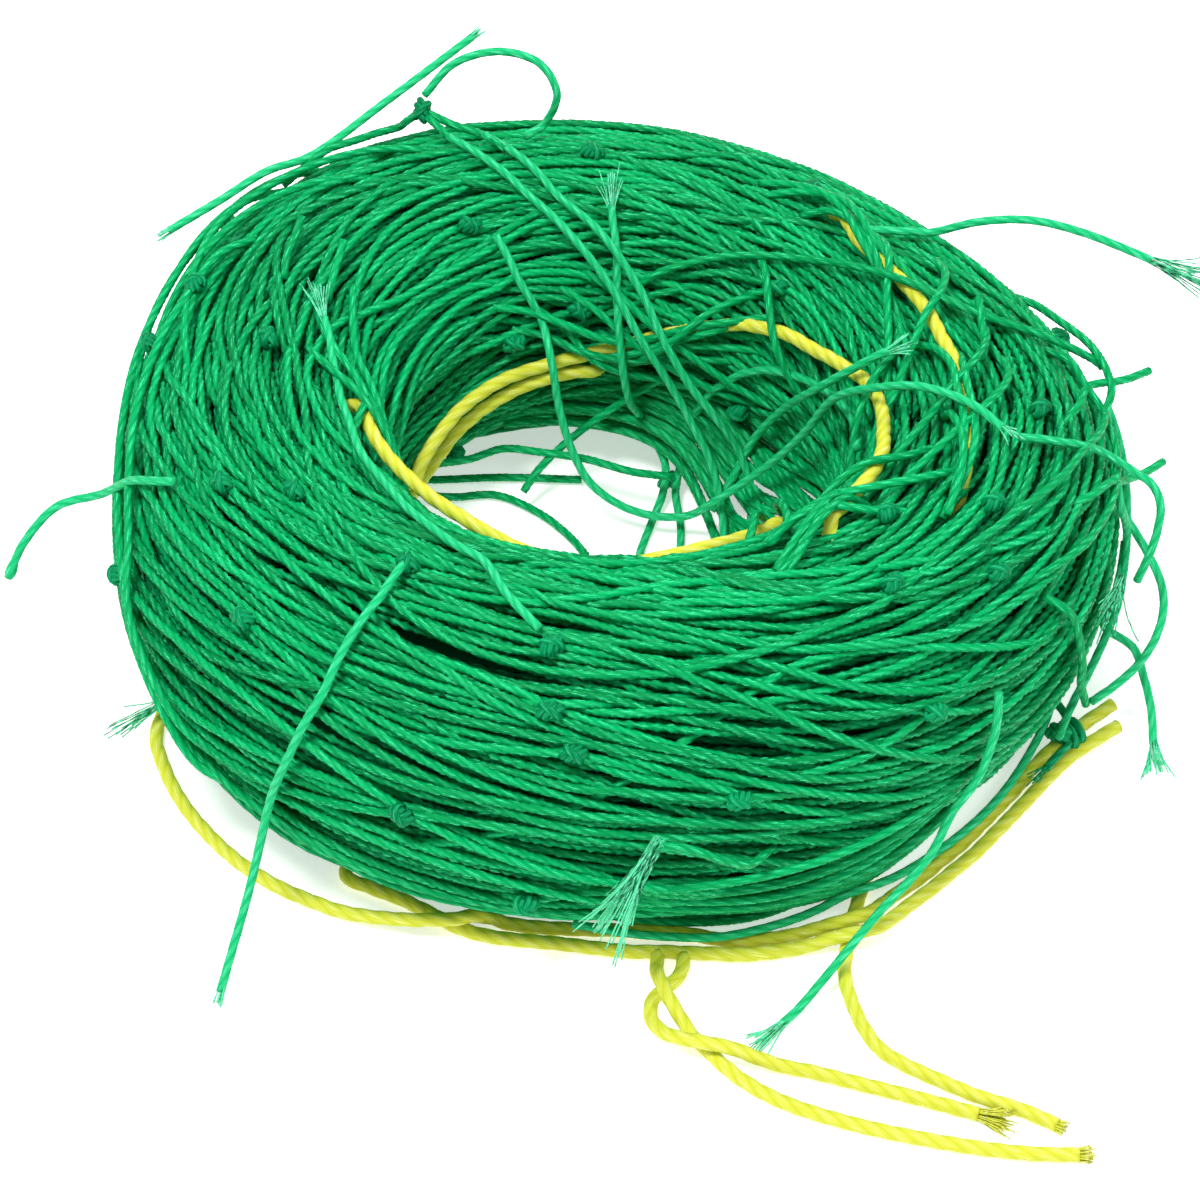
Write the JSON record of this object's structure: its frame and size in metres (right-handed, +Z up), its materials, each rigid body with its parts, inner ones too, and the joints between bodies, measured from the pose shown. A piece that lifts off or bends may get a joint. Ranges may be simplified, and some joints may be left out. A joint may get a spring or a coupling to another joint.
{
  "type": "trellis netting",
  "caption": "Trellis netting of green twisted twine with a yellow border rope, wound into a loose ring with knots, a mesh loop and frayed loose ends.",
  "frame": {"origin": "on the floor, under the middle of the wound ring", "axes": "+Z up along the ring's axis, +X to the right and -Y towards the rope's free ends, the side that the picture was taken from"},
  "size_m": [0.1673, 0.1703, 0.0565],
  "materials": {
    "net_green": "silky twisted plastic fibre, semi-gloss",
    "knot_green": "tight twisted plastic fibre, semi-gloss",
    "rope_yellow": "silky twisted plastic fibre, semi-gloss"
  },
  "bodies": {
    "root": {"net_coil": "net_green", "border_rope_inner_high": "rope_yellow", "border_rope_inner_low": "rope_yellow", "border_rope_inner_front": "rope_yellow", "border_rope_crown": "rope_yellow", "border_rope_foot_outer": "rope_yellow", "border_rope_foot_inner": "rope_yellow", "border_rope_end_long": "rope_yellow", "border_rope_end_short": "rope_yellow", "border_rope_end_right": "rope_yellow", "loose_end_back_left": "net_green", "net_loop": "net_green", "net_strand_across_1": "net_green", "net_strand_across_2": "net_green", "loose_end_forked": "net_green", "hole_leg_1": "net_green", "hole_leg_2": "net_green", "hole_arc": "net_green", "hole_sweep": "net_green", "loose_end_left_lip": "net_green", "loose_end_left": "net_green", "loose_end_front_left": "net_green", "loose_end_back_right": "net_green", "loose_loop_right": "net_green", "loose_strand_right": "net_green", "loose_end_right_low": "net_green", "loose_end_front_right": "net_green", "net_loop_knot": "knot_green", "hole_knot": "knot_green", "lashing": "knot_green"}
  },
  "joints": []
}
